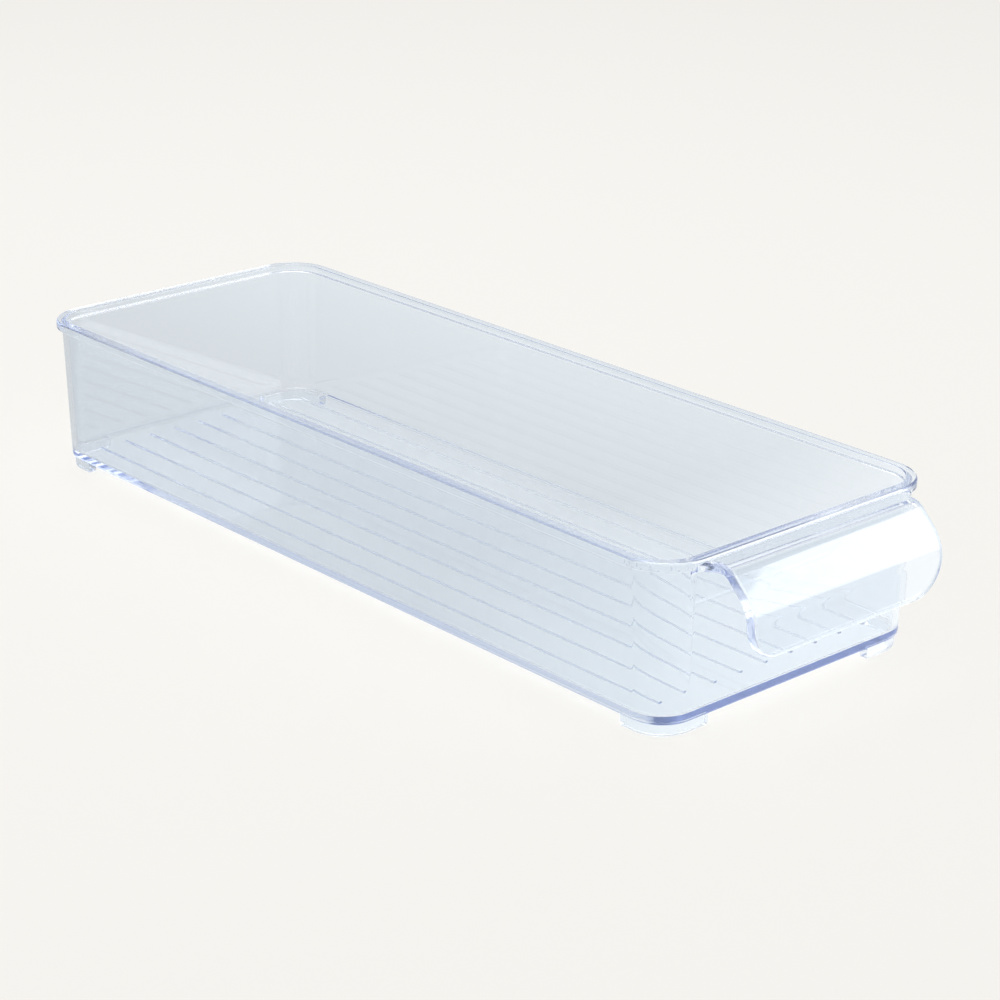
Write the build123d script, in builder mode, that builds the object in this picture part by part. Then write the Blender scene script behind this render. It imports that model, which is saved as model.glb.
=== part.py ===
from build123d import *
import math
import os

os.makedirs("parts", exist_ok=True)

# Clear pull-out bin for a fridge shelf. It is one plastic moulding, split here where its forms meet.
# Lengths are in millimetres. The feet rest on z = 0 and the handle is at the front, towards -Y.

# Rim
rim_length = 342.0
rim_width = 126.0
rim_corner_radius = 17.6
rim_land = 4.4
rim_flange_height = 3.3
rim_overhang = 2.5
rim_outer_round = 0.9
rim_inner_round = 0.8
rim_under_bevel = 0.5

# Tub
tub_height = 55.5
wall_draft = 1.5
wall_corner_radius = 14.0
floor_thickness = 2.5
base_edge_round = 1.2
floor_inner_round = 1.2

# Ribs on the floor
rib_count = 9
rib_pitch = 11.7
rib_width = 1.5
rib_rise = 0.5
rib_end_clearance = 10.4
rib_end_bevel = 0.5
rib_top_bevel = 0.3

# Feet
foot_height = 4.1
foot_inset = 0.9
foot_wall = 3.4
foot_draft = 1.5
foot_reach_x = 21.9
foot_reach_y = 18.6
foot_end_round = 1.0

# Pull handle
handle_width = 88.0
handle_sheet = 3.3
handle_reach = 19.0
handle_drop = 30.0
handle_step = 1.0
handle_ledge = 5.0
handle_top_bend = 7.0
handle_front_bend = 15.0
handle_slope = 45.0
handle_corner_radius = 12.5
handle_edge_round = 1.6
handle_edge_bevel = 1.0
handle_root_flare = 5.0
handle_root_round = 1.5

# Heights and places that follow from the sizes above
base_z = foot_height
floor_top_z = base_z + floor_thickness
rim_top_z = base_z + tub_height
wall_top_z = rim_top_z - rim_flange_height
wall_thickness = rim_land - rim_overhang
tub_centre_y = handle_reach / 2
rim_front_y = tub_centre_y - rim_length / 2
wall_top_width = rim_width - 2 * rim_overhang
wall_top_length = rim_length - 2 * rim_overhang
cavity_corner_radius = wall_corner_radius - wall_thickness
wall_shrink = (wall_top_z - base_z) * math.tan(math.radians(wall_draft))
base_width = wall_top_width - 2 * wall_shrink
base_length = wall_top_length - 2 * wall_shrink
base_radius = wall_corner_radius - wall_shrink
rib_length = base_length - 2 * wall_thickness - 2 * rib_end_clearance

# Tub: the walls lean out a little towards the top so that the moulding leaves its tool.
with BuildPart() as tub:
    with BuildSketch(Plane.XY.offset(wall_top_z)):
        with Locations((0, tub_centre_y)):
            RectangleRounded(wall_top_width, wall_top_length, wall_corner_radius)
    extrude(amount=wall_top_z - base_z, dir=(0, 0, -1), taper=wall_draft)
    base_edges = tub.edges().group_by(Axis.Z)[0]
    fillet(base_edges, radius=base_edge_round)
    with BuildSketch(Plane.XY.offset(wall_top_z)):
        with Locations((0, tub_centre_y)):
            RectangleRounded(
                wall_top_width - 2 * wall_thickness,
                wall_top_length - 2 * wall_thickness,
                cavity_corner_radius,
            )
    extrude(amount=wall_top_z - floor_top_z, dir=(0, 0, -1), taper=wall_draft, mode=Mode.SUBTRACT)
    floor_face = tub.faces().filter_by(Axis.Z).sort_by(Axis.Z)[1]
    fillet(floor_face.outer_wire().edges(), radius=floor_inner_round)
    with BuildSketch(Plane.XY.offset(floor_top_z)) as rib_plan:
        with Locations((0, tub_centre_y)):
            with GridLocations(rib_pitch, 1, rib_count, 1):
                Rectangle(rib_width, rib_length)
        chamfer(rib_plan.vertices(), length=rib_end_bevel)
    extrude(amount=rib_rise)
    rib_tops = tub.faces().filter_by(Axis.Z).filter_by_position(
        Axis.Z, floor_top_z + rib_rise - 0.01, floor_top_z + rib_rise + 0.01
    )
    chamfer(rib_tops.edges(), length=rib_top_bevel)

tub.part.label = "tub"
export_step(tub.part, "parts/tub.step")

# Rim flange: it stands on the top edge of the walls and reaches out past them all round.
with BuildPart() as rim_flange:
    with BuildSketch(Plane.XY.offset(wall_top_z)):
        with Locations((0, tub_centre_y)):
            RectangleRounded(rim_width, rim_length, rim_corner_radius)
            RectangleRounded(
                rim_width - 2 * rim_land,
                rim_length - 2 * rim_land,
                cavity_corner_radius,
                mode=Mode.SUBTRACT,
            )
    extrude(amount=rim_flange_height)
    rim_top_face = rim_flange.faces().sort_by(Axis.Z)[-1]
    rim_under_face = rim_flange.faces().sort_by(Axis.Z)[0]
    rim_under_edges = rim_under_face.outer_wire().edges()
    rim_inner_edges = rim_top_face.inner_wires()[0].edges()
    rim_outer_edges = rim_top_face.outer_wire().edges()
    fillet(rim_outer_edges, radius=rim_outer_round)
    fillet(rim_inner_edges, radius=rim_inner_round)
    chamfer(rim_under_edges, length=rim_under_bevel)

rim_flange.part.label = "rim_flange"
export_step(rim_flange.part, "parts/rim_flange.step")

# Pull handle: one bent sheet. It leaves the rim level, slopes down and hangs in front of the wall.
ledge_z = rim_top_z - handle_step
ledge_end_y = rim_front_y - handle_ledge
apron_y = rim_front_y - handle_reach
apron_bottom_z = rim_top_z - handle_drop
wall_root_y = rim_front_y + rim_overhang
slope = math.radians(handle_slope)
top_bend_z = ledge_z - handle_top_bend
slope_start_y = ledge_end_y - handle_top_bend * math.sin(slope)
slope_start_z = top_bend_z + handle_top_bend * math.cos(slope)
front_bend_y = apron_y + handle_front_bend
slope_end_y = front_bend_y - handle_front_bend * math.sin(slope)
slope_end_z = slope_start_z - (slope_start_y - slope_end_y) * math.tan(slope)
front_bend_z = slope_end_z - handle_front_bend * math.cos(slope)
root_backing = wall_thickness / 2

with BuildPart() as pull_handle:
    with BuildSketch(Plane.YZ.offset(-handle_width / 2 - handle_root_flare)):
        with BuildLine() as sheet_outline:
            ledge_top = Line((wall_root_y + root_backing, ledge_z), (ledge_end_y, ledge_z))
            top_bend = CenterArc((ledge_end_y, top_bend_z), handle_top_bend, 90, handle_slope)
            front_bend = CenterArc(
                (front_bend_y, front_bend_z), handle_front_bend, 90 + handle_slope, 90 - handle_slope
            )
            Line(top_bend @ 1, front_bend @ 0)
            Line(front_bend @ 1, (apron_y, apron_bottom_z))
            Line((apron_y, apron_bottom_z), (apron_y + handle_sheet, apron_bottom_z))
            inner_front_bend = CenterArc(
                (front_bend_y, front_bend_z),
                handle_front_bend - handle_sheet,
                90 + handle_slope,
                90 - handle_slope,
            )
            inner_top_bend = CenterArc(
                (ledge_end_y, top_bend_z), handle_top_bend - handle_sheet, 90, handle_slope
            )
            Line((apron_y + handle_sheet, apron_bottom_z), inner_front_bend @ 1)
            Line(inner_front_bend @ 0, inner_top_bend @ 1)
            root_arc = CenterArc(
                (wall_root_y - handle_root_round, ledge_z - handle_sheet - handle_root_round),
                handle_root_round,
                0,
                90,
            )
            Line(inner_top_bend @ 0, root_arc @ 1)
            root_back = Line(root_arc @ 0, root_arc @ 0 + Vector(root_backing, 0))
            Line(root_back @ 1, ledge_top @ 0)
        make_face()
    extrude(amount=handle_width + 2 * handle_root_flare)
    with BuildSketch(Plane.XY.offset(apron_bottom_z)):
        with BuildLine() as plan_outline:
            right_flare = CenterArc(
                (handle_width / 2 + handle_root_flare, rim_front_y - handle_root_flare),
                handle_root_flare,
                90,
                90,
            )
            left_flare = CenterArc(
                (-handle_width / 2 - handle_root_flare, rim_front_y - handle_root_flare),
                handle_root_flare,
                0,
                90,
            )
            front_line = Line((-handle_width / 2, apron_y), (handle_width / 2, apron_y))
            Line(front_line @ 1, right_flare @ 1)
            Line(front_line @ 0, left_flare @ 0)
            right_back = Line(right_flare @ 0, right_flare @ 0 + Vector(0, rim_land))
            left_back = Line(left_flare @ 1, left_flare @ 1 + Vector(0, rim_land))
            Line(right_back @ 1, left_back @ 1)
        make_face()
    extrude(amount=handle_drop, mode=Mode.INTERSECT)
    corner_edges = pull_handle.edges().filter_by(Axis.Y).group_by(Axis.Z)[0]
    fillet(corner_edges, radius=handle_corner_radius)
    outer_edge = pull_handle.edges().filter_by(Axis.X).group_by(Axis.Z)[0].sort_by(Axis.Y)[0]
    fillet(outer_edge, radius=handle_edge_round)
    inner_edge = pull_handle.edges().filter_by(Axis.X).group_by(Axis.Z)[0].sort_by(Axis.Y)[-1]
    chamfer(inner_edge, length=handle_edge_bevel)
    add(tub.part, mode=Mode.SUBTRACT)
    add(rim_flange.part, mode=Mode.SUBTRACT)

pull_handle.part.label = "pull_handle"
export_step(pull_handle.part, "parts/pull_handle.step")

# Feet: each is a low wall that follows the corner of the base and stops a short way along both sides.
# It starts inside the floor, and the floor and its rounded edge are then cut out of it.
foot_start_z = base_z + floor_thickness / 2
foot_outer_width = base_width - 2 * foot_inset
foot_outer_length = base_length - 2 * foot_inset
foot_outer_radius = base_radius - foot_inset

with BuildPart() as rear_right_foot:
    with BuildSketch(Plane.XY.offset(foot_start_z)):
        with Locations((0, tub_centre_y)):
            RectangleRounded(foot_outer_width, foot_outer_length, foot_outer_radius)
    extrude(amount=foot_start_z, dir=(0, 0, -1), taper=foot_draft)
    with BuildSketch(Plane.XY.offset(foot_start_z)):
        with Locations((0, tub_centre_y)):
            RectangleRounded(
                foot_outer_width - 2 * foot_wall,
                foot_outer_length - 2 * foot_wall,
                foot_outer_radius - foot_wall,
            )
    extrude(amount=foot_start_z, dir=(0, 0, -1), taper=-foot_draft, mode=Mode.SUBTRACT)
    with BuildSketch(Plane.XY):
        with Locations((base_width / 2, tub_centre_y + base_length / 2)):
            Rectangle(2 * foot_reach_x, 2 * foot_reach_y)
    extrude(amount=foot_start_z, mode=Mode.INTERSECT)
    arm_end_x = rear_right_foot.faces().sort_by(Axis.X)[0]
    arm_end_y = rear_right_foot.faces().sort_by(Axis.Y)[0]
    arm_toe_x = arm_end_x.edges().sort_by(Axis.Z)[0]
    arm_toe_y = arm_end_y.edges().sort_by(Axis.Z)[0]
    fillet([arm_toe_x, arm_toe_y], radius=foot_end_round)
    add(tub.part, mode=Mode.SUBTRACT)

with BuildPart() as rear_left_foot:
    mirror(rear_right_foot.part, about=Plane.YZ)

with BuildPart() as front_right_foot:
    mirror(rear_right_foot.part, about=Plane.XZ.offset(-tub_centre_y))

with BuildPart() as front_left_foot:
    mirror(rear_left_foot.part, about=Plane.XZ.offset(-tub_centre_y))

front_left_foot.part.label = "front_left_foot"
front_right_foot.part.label = "front_right_foot"
rear_left_foot.part.label = "rear_left_foot"
rear_right_foot.part.label = "rear_right_foot"
export_step(front_left_foot.part, "parts/front_left_foot.step")
export_step(front_right_foot.part, "parts/front_right_foot.step")
export_step(rear_left_foot.part, "parts/rear_left_foot.step")
export_step(rear_right_foot.part, "parts/rear_right_foot.step")
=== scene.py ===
import math

import bmesh
import bpy
from mathutils import Matrix, Vector


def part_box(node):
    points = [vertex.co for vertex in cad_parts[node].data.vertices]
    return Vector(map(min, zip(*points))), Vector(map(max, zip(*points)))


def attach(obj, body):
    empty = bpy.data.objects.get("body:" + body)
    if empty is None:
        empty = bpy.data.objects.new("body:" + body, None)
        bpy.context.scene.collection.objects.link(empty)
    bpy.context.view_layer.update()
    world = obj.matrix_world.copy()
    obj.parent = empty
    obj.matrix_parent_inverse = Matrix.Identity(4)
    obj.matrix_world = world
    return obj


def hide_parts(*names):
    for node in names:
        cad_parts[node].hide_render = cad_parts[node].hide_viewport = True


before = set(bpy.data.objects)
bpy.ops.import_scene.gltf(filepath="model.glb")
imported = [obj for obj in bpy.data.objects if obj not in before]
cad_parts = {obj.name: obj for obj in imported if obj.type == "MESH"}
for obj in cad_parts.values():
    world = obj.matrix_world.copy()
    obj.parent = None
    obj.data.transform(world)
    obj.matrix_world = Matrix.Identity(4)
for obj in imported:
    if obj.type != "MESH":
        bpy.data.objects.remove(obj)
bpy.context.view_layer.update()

scene = bpy.context.scene

# ---- Tub and rim ------------------------------------------------------------------------------
# The tub is the body of the clear plastic moulding: a thin floor and four walls that lean out a
# little so that it leaves its tool, with a flat rim turned out round the top. One section runs
# all the way round.
MM = 0.001
rim_low, rim_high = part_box("rim_flange")
centre_y = (rim_low.y + rim_high.y) / 2
rim_length = rim_high.y - rim_low.y
rim_width = rim_high.x - rim_low.x
rim_corner_radius = 17.6 * MM
rim_overhang = 2.5 * MM
rim_land = 4.4 * MM
rim_outer_round = 0.95 * MM
rim_inner_round = 0.8 * MM
rim_under_round = 0.6 * MM
under_rim_round = 0.35 * MM
rim_to_wall_round = 0.2 * MM
rim_corner_steps = 26
base_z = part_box("tub")[0].z
wall_top_z = rim_low.z
rim_top_z = rim_high.z
wall_draft = math.radians(1.5)
wall_corner_radius = 14.0 * MM
wall_thickness = rim_land - rim_overhang
floor_thickness = 2.5 * MM
floor_inner_round = 1.2 * MM
floor_top_z = base_z + floor_thickness
base_edge_round = 1.2 * MM
flat_strip = 2.0 * MM
wall_lean = (wall_top_z - base_z) * math.tan(wall_draft)
base_inset = rim_overhang + wall_lean
floor_edge_inset = base_inset + base_edge_round + flat_strip
same_point = 0.0002 * MM


def turned(corners, steps=8):
    """Points along a line through corners (a, b, radius), with an arc of that radius at each."""
    points = [Vector(corners[0][:2])]
    for before, here, after in zip(corners, corners[1:], corners[2:]):
        corner = Vector(here[:2])
        back = (Vector(before[:2]) - corner).normalized()
        onward = (Vector(after[:2]) - corner).normalized()
        half = back.angle(onward) / 2
        centre = corner + (back + onward).normalized() * here[2] / math.sin(half)
        start = corner + back * here[2] / math.tan(half) - centre
        end = corner + onward * here[2] / math.tan(half) - centre
        turn = start.angle_signed(end)
        points += [centre + Matrix.Rotation(-turn * i / steps, 2) @ start for i in range(steps + 1)]
    points.append(Vector(corners[-1][:2]))
    return points


def mesh_object(name, points, faces, edges=()):
    """A new object with a mesh of these points, faces and loose edges."""
    mesh = bpy.data.meshes.new(name)
    mesh.from_pydata([tuple(p) for p in points], list(edges), faces)
    made = bpy.data.objects.new(name, mesh)
    scene.collection.objects.link(made)
    return made


def between_rows(rows, count):
    """Four-sided faces that join each closed row of count points to the next row."""
    faces = []
    for row in range(rows - 1):
        for i in range(count):
            a, b = row * count + i, row * count + (i + 1) % count
            faces.append((a, b, b + count, a + count))
    return faces


def close_up(made, open_loops=False):
    """Joins points that coincide, fills open loops where asked, and turns all faces outwards."""
    shape = bmesh.new()
    shape.from_mesh(made.data)
    bmesh.ops.remove_doubles(shape, verts=shape.verts, dist=same_point)
    if open_loops:
        loops = [e for e in shape.edges if e.is_boundary]
        bmesh.ops.holes_fill(shape, edges=loops, sides=0)
    bmesh.ops.recalc_face_normals(shape, faces=shape.faces)
    shape.to_mesh(made.data)
    shape.free()


def set_inputs(modifier, values):
    """Sets a modifier's inputs, given by the names that its node group shows."""
    for item in modifier.node_group.interface.items_tree:
        if item.item_type == "SOCKET" and item.in_out == "INPUT" and item.name in values:
            modifier[item.identifier] = values[item.name]


def settle(made):
    """Gives the object what its modifiers make as its own mesh and takes the modifiers off."""
    bpy.context.view_layer.update()
    depsgraph = bpy.context.evaluated_depsgraph_get()
    mesh = bpy.data.meshes.new_from_object(made.evaluated_get(depsgraph))
    made.modifiers.clear()
    made.data = mesh


def new_tree(name, inputs, output):
    """A Geometry Nodes group with these (label, type) inputs and one geometry output."""
    tree = bpy.data.node_groups.new(name, "GeometryNodeTree")
    for label, socket_type in inputs:
        tree.interface.new_socket(name=label, in_out="INPUT", socket_type=socket_type)
    tree.interface.new_socket(name=output, in_out="OUTPUT", socket_type="NodeSocketGeometry")
    start = tree.nodes.new("NodeGroupInput")
    end = tree.nodes.new("NodeGroupOutput")
    return tree, start, end


def add_node(tree, kind, settings=None, **links):
    """A node with its settings, and each named input set to a value or linked to a socket."""
    node = tree.nodes.new(kind)
    for name, value in (settings or {}).items():
        setattr(node, name, value)
    for name, value in links.items():
        socket = node.inputs[name.replace("_", " ")]
        if isinstance(value, bpy.types.NodeSocket):
            tree.links.new(value, socket)
        else:
            socket.default_value = value
    return node


def sum_node(tree, kind, operation, values):
    """A math node with its operation, and values or sockets on its inputs in their order."""
    node = add_node(tree, kind, {"operation": operation})
    for socket, value in zip(node.inputs, values):
        if isinstance(value, bpy.types.NodeSocket):
            tree.links.new(value, socket)
        else:
            socket.default_value = value
    return node


def scalar(tree, operation, *values):
    return sum_node(tree, "ShaderNodeMath", operation, values).outputs["Value"]


def vector(tree, operation, *values):
    return sum_node(tree, "ShaderNodeVectorMath", operation, values).outputs["Vector"]


def in_plane(tree, x, y):
    return add_node(tree, "ShaderNodeCombineXYZ", X=x, Y=y).outputs["Vector"]


def stored(tree, name, kind="FLOAT"):
    """The attribute of that name on the points, which the section or an earlier node stored."""
    node = add_node(tree, "GeometryNodeInputNamedAttribute", {"data_type": kind}, Name=name)
    return node.outputs["Attribute"]


# The plastic is clear with a violet-blue tint that deepens along the light's way through it. It
# has faint waves from the mould, smudges, fine scratches along the bin and treads scuffed matt.
clear_plastic = bpy.data.materials.new("clear_violet_plastic")
clear_plastic.use_nodes = True
tree = clear_plastic.node_tree
tree.nodes.clear()
output = add_node(tree, "ShaderNodeOutputMaterial")
place = add_node(tree, "ShaderNodeTexCoord").outputs["Object"]
mould_waves = add_node(
    tree, "ShaderNodeTexNoise", Vector=place, Scale=28.0, Detail=2.0, Roughness=0.4
)
surface = add_node(
    tree,
    "ShaderNodeBump",
    Height=mould_waves.outputs["Fac"],
    Strength=0.05,
    Distance=0.4 * MM,
)
smudges = add_node(
    tree, "ShaderNodeTexNoise", Vector=place, Scale=60.0, Detail=5.0, Roughness=0.6
)
smudged = add_node(
    tree,
    "ShaderNodeMapRange",
    Value=smudges.outputs["Fac"],
    From_Min=0.45,
    From_Max=0.8,
    To_Min=0.025,
    To_Max=0.06,
)
scratches_per_metre = (900, 14, 900)
drawn_along_bin = vector(tree, "MULTIPLY", place, scratches_per_metre)
scratches = add_node(
    tree, "ShaderNodeTexNoise", Vector=drawn_along_bin, Scale=1.0, Detail=2.0
)
scratched = add_node(
    tree,
    "ShaderNodeMapRange",
    Value=scratches.outputs["Fac"],
    From_Min=0.66,
    From_Max=0.74,
    To_Min=0.0,
    To_Max=0.05,
)
height_here = add_node(tree, "ShaderNodeSeparateXYZ", Vector=place).outputs["Z"]
scuffed_tread = add_node(
    tree,
    "ShaderNodeMapRange",
    Value=height_here,
    From_Min=0.1 * MM,
    From_Max=0.5 * MM,
    To_Min=0.3,
    To_Max=0.0,
)
roughness = scalar(
    tree,
    "ADD",
    smudged.outputs["Result"],
    scalar(tree, "MAXIMUM", scratched.outputs["Result"], scuffed_tread.outputs["Result"]),
)
plastic = add_node(
    tree,
    "ShaderNodeBsdfPrincipled",
    Base_Color=(0.92, 0.945, 0.97, 1),
    Roughness=roughness,
    Normal=surface.outputs["Normal"],
    IOR=1.57,
    Transmission_Weight=1.0,
)
to_lamps = add_node(tree, "ShaderNodeBsdfTransparent", Color=(0.93, 0.945, 0.96, 1))
light_path = add_node(tree, "ShaderNodeLightPath")
skin = add_node(tree, "ShaderNodeMixShader", Fac=light_path.outputs["Is Shadow Ray"])
tree.links.new(plastic.outputs["BSDF"], skin.inputs[1])
tree.links.new(to_lamps.outputs["BSDF"], skin.inputs[2])
tree.links.new(skin.outputs["Shader"], output.inputs["Surface"])
tint = add_node(
    tree, "ShaderNodeVolumeAbsorption", Color=(0.17, 0.36, 0.84, 1), Density=2.75
)
tree.links.new(tint.outputs["Volume"], output.inputs["Volume"])

# Inset from the rim's outside, height and round of each corner of the section, from under the
# floor, up the outside, over the rim and down the inside.
shell_section = turned(
    [
        (floor_edge_inset, base_z, 0),
        (base_inset, base_z, base_edge_round),
        (rim_overhang, wall_top_z, under_rim_round),
        (0, wall_top_z, rim_under_round),
        (0, rim_top_z, rim_outer_round),
        (rim_land, rim_top_z, rim_inner_round),
        (rim_land, wall_top_z, rim_to_wall_round),
        (base_inset + wall_thickness, floor_top_z, floor_inner_round),
        (floor_edge_inset, floor_top_z, 0),
    ]
)
# Round a ring of points, a set of them to each corner, the section is swept. Each point of the
# skin then goes where its own inset, height and corner radius put it.
tree, start, end = new_tree(
    "section round the rim",
    [
        ("Section", "NodeSocketGeometry"),
        ("Half Size", "NodeSocketVector"),
        ("Corner Steps", "NodeSocketInt"),
        ("Place", "NodeSocketVector"),
    ],
    "Shell",
)
points_per_corner = scalar(tree, "ADD", start.outputs["Corner Steps"], 1)
ring = add_node(
    tree,
    "GeometryNodeCurvePrimitiveCircle",
    Resolution=scalar(tree, "MULTIPLY", points_per_corner, 4),
    Radius=1.0,
)
index = add_node(tree, "GeometryNodeInputIndex").outputs["Index"]
corner = scalar(
    tree, "FLOOR", scalar(tree, "DIVIDE", scalar(tree, "ADD", index, 0.5), points_per_corner)
)
step = scalar(tree, "SUBTRACT", index, scalar(tree, "MULTIPLY", corner, points_per_corner))
step_share = scalar(tree, "DIVIDE", step, start.outputs["Corner Steps"])
turned_by = scalar(tree, "MULTIPLY", scalar(tree, "ADD", corner, step_share), math.pi / 2)
middle = scalar(tree, "MULTIPLY", scalar(tree, "ADD", corner, 0.5), math.pi / 2)
outward = in_plane(tree, scalar(tree, "COSINE", turned_by), scalar(tree, "SINE", turned_by))
side = in_plane(
    tree,
    scalar(tree, "SIGN", scalar(tree, "COSINE", middle)),
    scalar(tree, "SIGN", scalar(tree, "SINE", middle)),
)
with_outward = add_node(
    tree,
    "GeometryNodeStoreNamedAttribute",
    {"data_type": "FLOAT_VECTOR", "domain": "POINT"},
    Geometry=ring.outputs["Curve"],
    Name="outward",
    Value=outward,
)
with_side = add_node(
    tree,
    "GeometryNodeStoreNamedAttribute",
    {"data_type": "FLOAT_VECTOR", "domain": "POINT"},
    Geometry=with_outward.outputs["Geometry"],
    Name="side",
    Value=side,
)
section_line = add_node(tree, "GeometryNodeMeshToCurve", Mesh=start.outputs["Section"])
swept = add_node(
    tree,
    "GeometryNodeCurveToMesh",
    Curve=with_side.outputs["Geometry"],
    Profile_Curve=section_line.outputs["Curve"],
)
radius = stored(tree, "corner_radius")
drawn_in = scalar(tree, "ADD", stored(tree, "inset"), radius)
corner_centre = vector(
    tree,
    "MULTIPLY",
    stored(tree, "side", "FLOAT_VECTOR"),
    vector(tree, "SUBTRACT", start.outputs["Half Size"], in_plane(tree, drawn_in, drawn_in)),
)
out_to_skin = vector(
    tree, "MULTIPLY", stored(tree, "outward", "FLOAT_VECTOR"), in_plane(tree, radius, radius)
)
height = add_node(tree, "ShaderNodeCombineXYZ", Z=stored(tree, "height"))
on_skin = vector(tree, "ADD", corner_centre, out_to_skin)
on_skin = vector(tree, "ADD", on_skin, height.outputs["Vector"])
on_skin = vector(tree, "ADD", on_skin, start.outputs["Place"])
shaped = add_node(
    tree,
    "GeometryNodeSetPosition",
    Geometry=swept.outputs["Mesh"],
    Position=on_skin,
)
in_plastic = add_node(
    tree, "GeometryNodeSetMaterial", Geometry=shaped.outputs["Geometry"], Material=clear_plastic
)
tree.links.new(in_plastic.outputs["Geometry"], end.inputs["Shell"])

moulding = mesh_object(
    "bin_moulding",
    [(-inset, -z, 0) for inset, z in shell_section],
    [],
    [(i, i + 1) for i in range(len(shell_section) - 1)],
)
for name, values in (
    ("inset", [inset for inset, z in shell_section]),
    ("height", [z for inset, z in shell_section]),
    (
        "corner_radius",
        [
            rim_corner_radius - inset
            if inset < rim_overhang / 2
            else wall_corner_radius + rim_overhang - inset
            for inset, z in shell_section
        ],
    ),
):
    moulding.data.attributes.new(name, "FLOAT", "POINT").data.foreach_set("value", values)
sweep = moulding.modifiers.new("section", "NODES")
sweep.node_group = tree
set_inputs(
    sweep,
    {
        "Half Size": (rim_width / 2, rim_length / 2, 0),
        "Corner Steps": rim_corner_steps,
        "Place": (0, centre_y, 0),
    },
)
settle(moulding)
close_up(moulding, open_loops=True)

# ---- Ribs -------------------------------------------------------------------------------------
# Nine low ribs run the length of the floor inside. They are part of the plastic moulding and keep
# what lies in the bin off the floor. Their tops are rounded, and they stop short of the walls.
rib_count = 9
rib_pitch = 11.7 * MM
rib_width = 1.5 * MM
rib_rise = 0.5 * MM
rib_root = 1.2 * MM
rib_round = 0.3 * MM
rib_end_steps = 5
rib_end_clearance = 10.4 * MM
rib_length = rim_length - 2 * (base_inset + wall_thickness + rib_end_clearance)

rib_section = turned(
    [
        (-rib_width / 2, -rib_root, 0),
        (-rib_width / 2, rib_rise, rib_round),
        (rib_width / 2, rib_rise, rib_round),
        (rib_width / 2, -rib_root, 0),
    ],
    steps=5,
)


def rib_mesh():
    """One rib along Y with its root below z = 0: its rounded section, drawn in at each end."""
    stations = []
    for i in range(rib_end_steps + 1):
        angle = math.pi / 2 * i / rib_end_steps
        back = rib_round * (1 - math.cos(angle))
        stations.append((-rib_length / 2 + back, rib_round * (1 - math.sin(angle))))
    stations += [(-y, draw_in) for y, draw_in in stations[::-1]]
    points = []
    for y, draw_in in stations:
        narrower = 1 - 2 * draw_in / rib_width
        for x, z in rib_section:
            points.append((x * narrower, y, z - draw_in if z > 0 else z))
    count = len(rib_section)
    ends = [tuple(range(count))[::-1], tuple(range(len(points) - count, len(points)))]
    return points, ends + between_rows(len(stations), count)


ribs = mesh_object("floor_ribs", *rib_mesh())
close_up(ribs)
tree, start, end = new_tree(
    "row of ribs",
    [
        ("Rib", "NodeSocketGeometry"),
        ("Count", "NodeSocketInt"),
        ("Pitch", "NodeSocketFloat"),
        ("Place", "NodeSocketVector"),
    ],
    "Ribs",
)
pitch_step = add_node(tree, "ShaderNodeCombineXYZ", X=start.outputs["Pitch"])
row = add_node(
    tree,
    "GeometryNodeMeshLine",
    Count=start.outputs["Count"],
    Start_Location=start.outputs["Place"],
    Offset=pitch_step.outputs["Vector"],
)
copies = add_node(
    tree,
    "GeometryNodeInstanceOnPoints",
    Points=row.outputs["Mesh"],
    Instance=start.outputs["Rib"],
)
real = add_node(tree, "GeometryNodeRealizeInstances", Geometry=copies.outputs["Instances"])
in_plastic = add_node(
    tree,
    "GeometryNodeSetMaterial",
    Geometry=real.outputs["Geometry"],
    Material=clear_plastic,
)
tree.links.new(in_plastic.outputs["Geometry"], end.inputs["Ribs"])
repeat = ribs.modifiers.new("row", "NODES")
repeat.node_group = tree
set_inputs(
    repeat,
    {
        "Count": rib_count,
        "Pitch": rib_pitch,
        "Place": (-(rib_count - 1) / 2 * rib_pitch, centre_y, floor_top_z),
    },
)
settle(ribs)

# ---- Pull handle ------------------------------------------------------------------------------
# A wide curved sheet of the same plastic, moulded on, grows out of the front rim. It leaves level,
# slopes down and hangs before the wall with finger room behind it. Its edges and lower corners
# are rounded for the hand.
handle_low, handle_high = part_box("pull_handle")
flare = 5.0 * MM
half_width = (handle_high.x - handle_low.x) / 2 - flare
sheet = 3.3 * MM
ledge = 5.0 * MM
ledge_z = handle_high.z
top_bend = 7.0 * MM
front_bend = 15.0 * MM
slope = math.radians(45)
corner_radius = 12.5 * MM
outer_round = 1.6 * MM
outer_edge_steps = 8
inner_round = 1.0 * MM
inner_edge_steps = 6
root_round = 1.5 * MM
root_start = rim_overhang + wall_thickness / 2
root_steps = 8
flare_steps = 12
side_steps = 46
handle_corner_steps = 18
reach = rim_low.y - handle_low.y
drop = ledge_z - handle_low.z
slope_run = reach - ledge - top_bend * math.sin(slope) - front_bend * (1 - math.sin(slope))
slope_length = slope_run / math.cos(slope)
straight_drop = (
    drop
    - top_bend * (1 - math.cos(slope))
    - slope_length * math.sin(slope)
    - front_bend * math.cos(slope)
)
# Length, bend radius and bend angle of each run of the outer face, from the rim to the lower edge.
sheet_runs = [
    (ledge, None, 0),
    (top_bend * slope, top_bend, slope),
    (slope_length, None, 0),
    (front_bend * (math.pi / 2 - slope), front_bend, math.pi / 2 - slope),
    (straight_drop, None, 0),
]
sheet_length = sum(length for length, radius, angle in sheet_runs)


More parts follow.
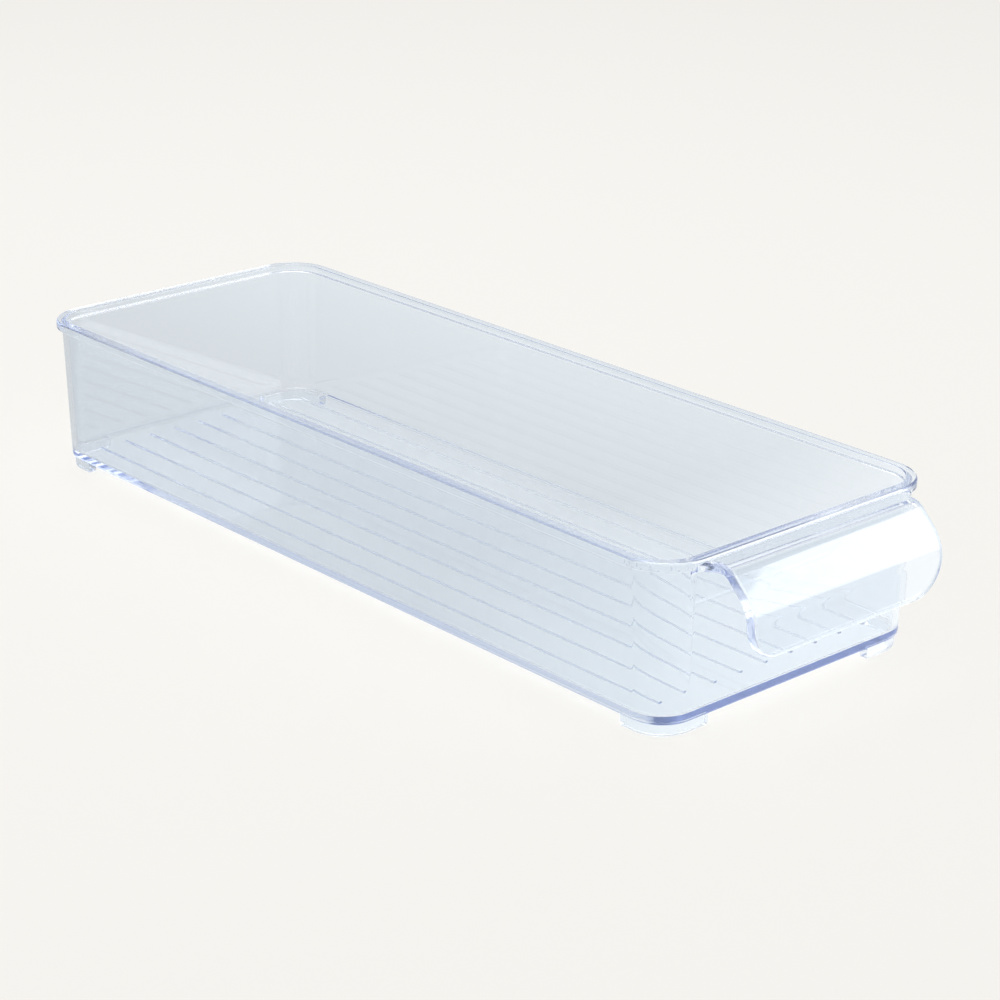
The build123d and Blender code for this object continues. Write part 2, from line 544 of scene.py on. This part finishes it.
def on_sheet(along, depth):
    """(y, z) of a point that far along the sheet's outer face from the rim, and that deep in it."""
    y = rim_low.y
    z = ledge_z
    heading = 0
    for i, (length, radius, angle) in enumerate(sheet_runs):
        here = along if i == len(sheet_runs) - 1 else min(along, length)
        if radius:
            part = here / radius
            y -= radius * (math.sin(heading + part) - math.sin(heading))
            z -= radius * (math.cos(heading) - math.cos(heading + part))
            heading += part
        else:
            y -= here * math.cos(heading)
            z -= here * math.sin(heading)
        along -= here
        if along <= 0:
            break
    return y + depth * math.sin(heading), z - depth * math.cos(heading)


def sheet_side(inset):
    """(half width, along) points down one side of the sheet, that far inside its outline."""
    root_x = half_width + flare - inset
    points = [
        (root_x, -root_start + root_start * i / root_steps) for i in range(root_steps - 1)
    ]
    first = math.asin(inset / (flare + inset)) if inset else 0.0
    for i in range(flare_steps + 1):
        angle = first + (math.pi / 2 - first) * i / flare_steps
        points.append(
            (
                half_width + flare - (flare + inset) * math.sin(angle),
                flare - (flare + inset) * math.cos(angle),
            )
        )
    corner_start = sheet_length - corner_radius
    for i in range(1, side_steps):
        points.append((half_width - inset, flare + (corner_start - flare) * i / side_steps))
    for i in range(handle_corner_steps + 1):
        angle = math.pi / 2 * i / handle_corner_steps
        points.append(
            (
                half_width - corner_radius + (corner_radius - inset) * math.cos(angle),
                corner_start + (corner_radius - inset) * math.sin(angle),
            )
        )
    return points


def root_depth(along):
    """How much deeper the sheet is where its underside turns down into the wall."""
    inside = min(max(-rim_overhang + root_round - along, 0), root_round)
    return root_round - math.sqrt(root_round**2 - inside**2)


def quarter_turn(steps):
    """The angles of a quarter turn in that many steps."""
    return [math.pi / 2 * i / steps for i in range(steps + 1)]


# Inset from the sheet's outline, depth in the sheet and whether on the inner face, for each line
# round its edge.
edge_profile = [
    (outer_round * (1 - math.sin(a)), outer_round * (1 - math.cos(a)), False)
    for a in quarter_turn(outer_edge_steps)
]
edge_profile += [
    (inner_round * (1 - math.cos(a)), sheet - inner_round * (1 - math.sin(a)), True)
    for a in quarter_turn(inner_edge_steps)
]
points = []
for inset, depth, is_inner in edge_profile:
    side = sheet_side(inset)
    for sign, run in ((-1, side), (1, side[::-1])):
        for x, along in run:
            deeper = root_depth(along) if is_inner else 0
            points.append((sign * x, *on_sheet(along, depth + deeper)))
ring = 2 * len(side)
faces = between_rows(len(edge_profile), ring)
for first in (0, (len(edge_profile) - 1) * ring):
    for i in range(len(side) - 1):
        faces.append((first + i, first + i + 1, first + ring - 2 - i, first + ring - 1 - i))
handle = mesh_object("handle_sheet", points, faces)
close_up(handle)

# ---- Feet -------------------------------------------------------------------------------------
# Under each corner of the base a low plastic wall follows the corner round and stops a short way
# along both sides. The four are moulded on, keep the floor off the shelf and let the bin slide.
foot_inset = 0.9 * MM
foot_wall = 3.4 * MM
foot_draft = math.radians(1.5)
foot_reach_x = 21.9 * MM
foot_reach_y = 18.6 * MM
foot_end_round = 1.0 * MM
tread_round = 0.5 * MM
foot_corner_steps = 16
foot_end_steps = 6
foot_top_z = base_z + floor_thickness / 2
base_half_x = rim_width / 2 - base_inset
base_half_y = rim_length / 2 - base_inset
foot_radius = wall_corner_radius - wall_lean - foot_inset - foot_wall / 2
foot_x = base_half_x - foot_inset - foot_wall / 2
foot_y = base_half_y - foot_inset - foot_wall / 2


def foot_stations():
    """(x, y, outward, distance from the nearer end) along the middle line of one foot's wall."""
    end_x = base_half_x - foot_reach_x
    end_y = base_half_y - foot_reach_y
    toe = [foot_end_round * (1 - math.cos(angle)) for angle in quarter_turn(foot_end_steps)]
    stations = [(end_x + back, foot_y, Vector((0, 1)), back) for back in toe]
    for i in range(foot_corner_steps + 1):
        angle = math.pi / 2 * (1 - i / foot_corner_steps)
        out = Vector((math.cos(angle), math.sin(angle)))
        x = foot_x - foot_radius + foot_radius * out.x
        y = foot_y - foot_radius + foot_radius * out.y
        stations.append((x, y, out, foot_end_round))
    stations += [(foot_x, end_y + back, Vector((1, 0)), back) for back in toe[::-1]]
    return stations


def foot_mesh(sign_x, sign_y):
    """One foot: its section carried along the wall, drawn up at both ends."""
    points = []
    for x, y, out, back in foot_stations():
        rise = foot_end_round - math.sqrt(foot_end_round**2 - (foot_end_round - back) ** 2)
        lean = (foot_top_z - rise) * math.tan(foot_draft)
        half = foot_wall / 2
        section = turned(
            [
                (half, foot_top_z, 0),
                (half - lean, rise, tread_round),
                (-half + lean, rise, tread_round),
                (-half, foot_top_z, 0),
            ],
            steps=4,
        )
        for off, z in section:
            points.append((sign_x * (x + out.x * off), centre_y + sign_y * (y + out.y * off), z))
    count = len(section)
    ends = [tuple(range(count)), tuple(range(len(points) - count, len(points)))]
    return points, ends + between_rows(len(points) // count, count)


points = []
faces = []
for sign_x in (-1, 1):
    for sign_y in (-1, 1):
        foot_points, foot_faces = foot_mesh(sign_x, sign_y)
        faces += [tuple(i + len(points) for i in face) for face in foot_faces]
        points += foot_points
feet = mesh_object("corner_feet", points, faces)
close_up(feet)

# ---- The moulding -----------------------------------------------------------------------------
# The real bin is injection moulded in one shot of clear plastic. So the forms are joined into
# one closed skin with no faces inside, which would show as lines in the clear plastic.
for part in (ribs, handle, feet):
    union = moulding.modifiers.new("union", "BOOLEAN")
    union.operation = "UNION"
    union.solver = "EXACT"
    union.object = part
settle(moulding)
for part in (ribs, handle, feet):
    bpy.data.objects.remove(part)
shape = bmesh.new()
shape.from_mesh(moulding.data)
bmesh.ops.remove_doubles(shape, verts=shape.verts, dist=2 * same_point)
bmesh.ops.dissolve_degenerate(shape, edges=shape.edges, dist=same_point)
bmesh.ops.recalc_face_normals(shape, faces=shape.faces)
shape.to_mesh(moulding.data)
shape.free()

sharp_angle = math.radians(32)
for face in moulding.data.polygons:
    face.use_smooth = True
moulding.data.set_sharp_from_angle(angle=sharp_angle)
normals = moulding.modifiers.new("normals", "WEIGHTED_NORMAL")
normals.keep_sharp = True
normals.weight = 50
settle(moulding)
moulding.data.materials.clear()
moulding.data.materials.append(clear_plastic)
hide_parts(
    "tub",
    "rim_flange",
    "pull_handle",
    "front_left_foot",
    "front_right_foot",
    "rear_left_foot",
    "rear_right_foot",
)
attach(moulding, "root")

# ---- Floor, light and camera ------------------------------------------------------------------
# A table top of pale card in plain soft light: one wide lamp overhead, one low at the right that
# mirrors in the handle's curve, and a pale room round them. The camera sees the card flat. What the
# plastic shows of the card is a grey-blue glow of painted light and shade: painted darker round
# the bin and paler to the front, the right and far off, where the lamps' light would fall.
far = 6
floor = mesh_object(
    "table_top", [(-far, -far, 0), (far, -far, 0), (far, far, 0), (-far, far, 0)], [(0, 1, 2, 3)]
)
pale_card = bpy.data.materials.new("pale_card")
pale_card.use_nodes = True
tree = pale_card.node_tree
tree.nodes.clear()
output = add_node(tree, "ShaderNodeOutputMaterial")
card = add_node(tree, "ShaderNodeBsdfDiffuse", Color=(0.36, 0.354, 0.341, 1))
flat_glow = add_node(
    tree, "ShaderNodeEmission", Color=(0.921, 0.899, 0.857, 1), Strength=0.631
)
# Painted shade and light: the glow that the plastic sees is darkest round this centre. It grows
# paler away from the centre, to the front and to the right.
forward_pull = -1.7
painted_shade_centre = (0.06, 0.1, 0)
painted_shade_radius = 0.32
painted_light_per_metre = 1.2
spot = add_node(tree, "ShaderNodeTexCoord").outputs["Object"]
apart = add_node(tree, "ShaderNodeSeparateXYZ", Vector=spot)
forward = scalar(tree, "MULTIPLY", apart.outputs["Y"], forward_pull)
nearness = scalar(tree, "ADD", apart.outputs["X"], scalar(tree, "MAXIMUM", forward, 0))
from_centre = sum_node(tree, "ShaderNodeVectorMath", "DISTANCE", (spot, painted_shade_centre))
past_dark = scalar(tree, "SUBTRACT", from_centre.outputs["Value"], painted_shade_radius)
paler = scalar(tree, "MULTIPLY", past_dark, painted_light_per_metre)
painted_light_tone = add_node(tree, "ShaderNodeValToRGB", Fac=scalar(tree, "MAXIMUM", nearness, paler))
painted_light_tone.color_ramp.elements[0].color = (0.32, 0.345, 0.37, 1)
painted_light_tone.color_ramp.elements[1].color = (0.72, 0.73, 0.73, 1)
painted_light_tone.color_ramp.elements.new(0.16).color = (0.465, 0.505, 0.53, 1)
painted_light_tone.color_ramp.elements.new(0.31).color = (0.66, 0.68, 0.69, 1)
painted_light_seen_through = add_node(
    tree, "ShaderNodeEmission", Color=painted_light_tone.outputs["Color"], Strength=1.0
)
light_path = add_node(tree, "ShaderNodeLightPath")
glow = add_node(tree, "ShaderNodeMixShader", Fac=light_path.outputs["Is Camera Ray"])
tree.links.new(painted_light_seen_through.outputs["Emission"], glow.inputs[1])
tree.links.new(flat_glow.outputs["Emission"], glow.inputs[2])
both = add_node(tree, "ShaderNodeAddShader")
tree.links.new(card.outputs["BSDF"], both.inputs[0])
tree.links.new(glow.outputs["Shader"], both.inputs[1])
tree.links.new(both.outputs["Shader"], output.inputs["Surface"])
floor.data.materials.append(pale_card)

room = bpy.data.worlds.new("room")
scene.world = room
room.use_nodes = True
tree = room.node_tree
soft_light = tree.nodes["Background"]
soft_light.inputs["Color"].default_value = (0.98, 0.99, 1.0, 1)
soft_light.inputs["Strength"].default_value = 0.6
pale_wall = add_node(
    tree, "ShaderNodeBackground", Color=(0.95, 0.975, 1.0, 1), Strength=0.86
)
ray = add_node(tree, "ShaderNodeLightPath").outputs
seen = scalar(tree, "MAXIMUM", ray["Is Camera Ray"], ray["Is Glossy Ray"])
seen = scalar(tree, "MAXIMUM", seen, ray["Is Transmission Ray"])
walls = add_node(tree, "ShaderNodeMixShader", Fac=seen)
tree.links.new(soft_light.outputs["Background"], walls.inputs[1])
tree.links.new(pale_wall.outputs["Background"], walls.inputs[2])
tree.links.new(walls.outputs["Shader"], tree.nodes["World Output"].inputs["Surface"])


def soft_lamp(name, place, target, size, strength):
    """A wide lamp of that size in metres and strength in watts, turned towards its target."""
    lamp = bpy.data.lights.new(name, "AREA")
    lamp.shape = "RECTANGLE"
    lamp.size, lamp.size_y = size
    lamp.energy = strength
    made = bpy.data.objects.new(name, lamp)
    scene.collection.objects.link(made)
    made.location = place
    made.rotation_euler = (Vector(target) - Vector(place)).to_track_quat("-Z", "Y").to_euler()
    return made


soft_lamp("overhead_lamp", (0, 0.3, 1.5), (0, 0, 0), (1.2, 1.2), 11)
side_lamp = soft_lamp("side_lamp", (1.05, -0.95, 0.42), (0.05, -0.17, 0.05), (1.1, 1.2), 10)
side_lamp.visible_diffuse = False  # it shines in the plastic but doesn't light the table

camera_data = bpy.data.cameras.new("camera")
camera_data.lens = 96.55
camera_data.sensor_width = 36
camera_data.clip_start = 0.01
camera_data.clip_end = 50
camera_place = (-0.58567, -0.67813, 0.36462)
camera = bpy.data.objects.new("camera", camera_data)
scene.collection.objects.link(camera)
yaw = math.radians(41.528)
pitch = math.radians(21.035)
roll = math.radians(0.2)
ahead = Vector(
    (math.sin(yaw) * math.cos(pitch), math.cos(yaw) * math.cos(pitch), -math.sin(pitch))
)
level = Vector((math.cos(yaw), -math.sin(yaw), 0))
upright = level.cross(ahead)
right = math.cos(roll) * level + math.sin(roll) * upright
up = math.cos(roll) * upright - math.sin(roll) * level
turn = Matrix((right, up, -ahead)).transposed().to_4x4()
camera.matrix_world = Matrix.Translation(camera_place) @ turn
scene.camera = camera

bounces_in_plastic = 128
scene.view_settings.view_transform = "Standard"
scene.cycles.max_bounces = bounces_in_plastic
scene.cycles.transmission_bounces = bounces_in_plastic
scene.cycles.glossy_bounces = bounces_in_plastic
scene.cycles.transparent_max_bounces = 32
